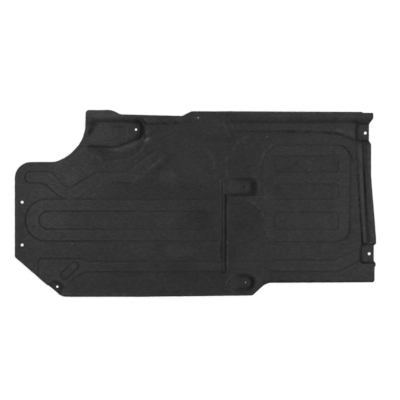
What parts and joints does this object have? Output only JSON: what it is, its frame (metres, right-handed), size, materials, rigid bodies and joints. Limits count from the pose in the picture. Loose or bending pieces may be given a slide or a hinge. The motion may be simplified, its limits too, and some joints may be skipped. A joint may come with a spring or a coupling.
{
  "type": "engine splash shield",
  "caption": "Ribbed splash shield pressed from one sheet of felt, with raised beads, a windowed raised rectangle, deep fixing seats, a wheel-arch corner and a rolled edge.",
  "frame": {"origin": "middle of the panel's bounding box in plan, on the plane that the undersides of the fixing seats rest on", "axes": "+X along the panel's length towards the rolled edge, +Y across it towards the wheel-arch side, +Z out of the face that looks at the road"},
  "size_m": [1.01, 0.523, 0.0315],
  "materials": {
    "felt": "matt charcoal needled felt with a hot-pressed surface"
  },
  "bodies": {
    "root": {"shield_panel": "felt"}
  },
  "joints": []
}
